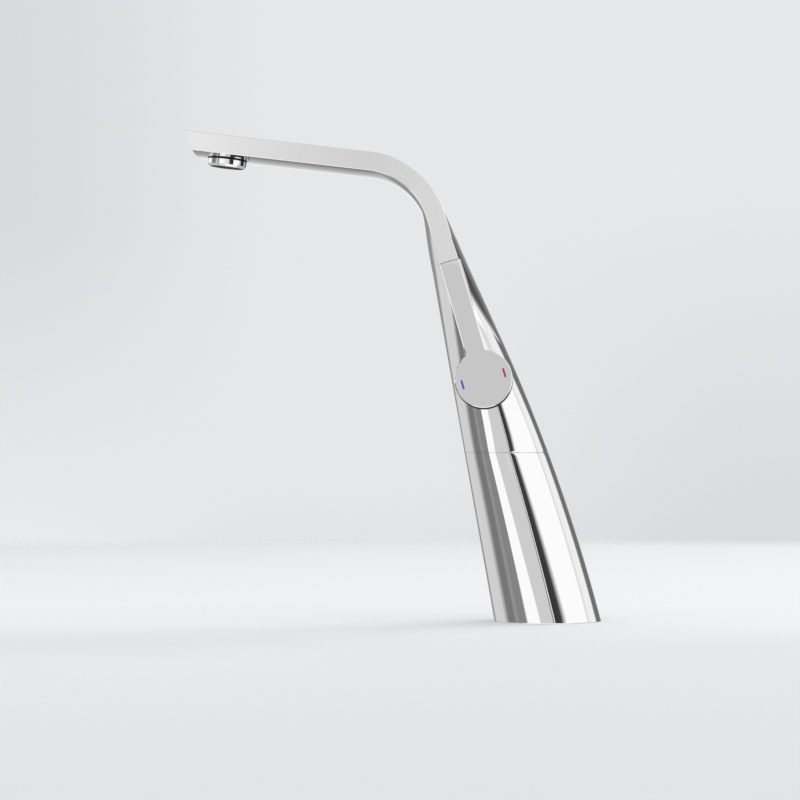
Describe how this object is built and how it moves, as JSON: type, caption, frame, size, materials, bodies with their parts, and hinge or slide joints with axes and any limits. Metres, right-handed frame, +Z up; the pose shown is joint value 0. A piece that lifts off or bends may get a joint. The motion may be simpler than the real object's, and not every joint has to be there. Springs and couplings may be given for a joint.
{
  "type": "basin mixer tap",
  "caption": "Leaning round basin mixer that flattens into a wide bent blade spout, with a side disc and thin lever, a swivel joint and a flow-mixing cartridge.",
  "frame": {"origin": "centre of the foot on the deck, midway between the two fixing studs", "axes": "+Z up from the deck, spout towards -X, handle on the -Y side"},
  "size_m": [0.2847, 0.0786, 0.3359],
  "materials": {
    "chrome": "polished chrome plating over brass",
    "brass": "machined brass",
    "steel": "stainless steel, turned",
    "rubber": "black rubber",
    "polymer_white": "natural acetal",
    "polymer_grey": "grey moulded plastic",
    "ceramic": "lapped alumina ceramic",
    "cold_blue": "blue enamel inlay",
    "hot_red": "red enamel inlay"
  },
  "bodies": {
    "base": {"lower_body": "chrome", "base_gasket": "rubber", "base_plate": "brass", "plate_screws": "steel", "swivel_bushes": "polymer_white", "glide_ring": "polymer_white", "glide_washer": "polymer_white", "stop_pin": "steel"},
    "spout": {"upper_body": "chrome", "swivel_post": "brass", "stop_plate": "steel", "post_nut": "brass", "cartridge_sleeve": "polymer_grey", "cartridge_base": "polymer_grey", "cartridge_seals": "rubber", "fixed_ceramic_disc": "ceramic", "retaining_nut": "brass", "cover_ring": "chrome", "aerator_housing": "chrome", "aerator_insert": "polymer_grey", "aerator_screen": "polymer_grey", "aerator_gasket": "rubber"},
    "turret": {"turret": "polymer_white", "turret_pin": "brass"},
    "lever": {"handle": "chrome", "lever_stem": "steel", "handle_screw": "steel", "cold_mark": "cold_blue", "hot_mark": "hot_red"},
    "carrier": {"disc_carrier": "polymer_white", "moving_ceramic_disc": "ceramic"}
  },
  "joints": [
    {"name": "spout_swivel", "type": "hinge", "parent": "base", "child": "spout", "pos_m": [-0.02845, 0, 0.1], "axis": [0, 0, 1], "range_deg": [-60, 60]},
    {"name": "temperature_turn", "type": "hinge", "parent": "spout", "child": "turret", "pos_m": [-0.04467, -0.04005, 0.16601], "axis": [-0.0267, -0.9954, 0.092], "range_deg": [-45, 45]},
    {"name": "flow_lift", "type": "hinge", "parent": "turret", "child": "lever", "pos_m": [-0.04424, -0.02412, 0.16453], "axis": [0.9603, 0, 0.279], "range_deg": [0, 15]},
    {"name": "disc_slide", "type": "slide", "parent": "turret", "child": "carrier", "axis": [-0.2777, 0.0958, 0.9559], "range_m": [0, 0.00265]}
  ],
  "couplings": [
    {"joint": "disc_slide", "follows": "flow_lift", "m_per_rad": 0.01}
  ]
}
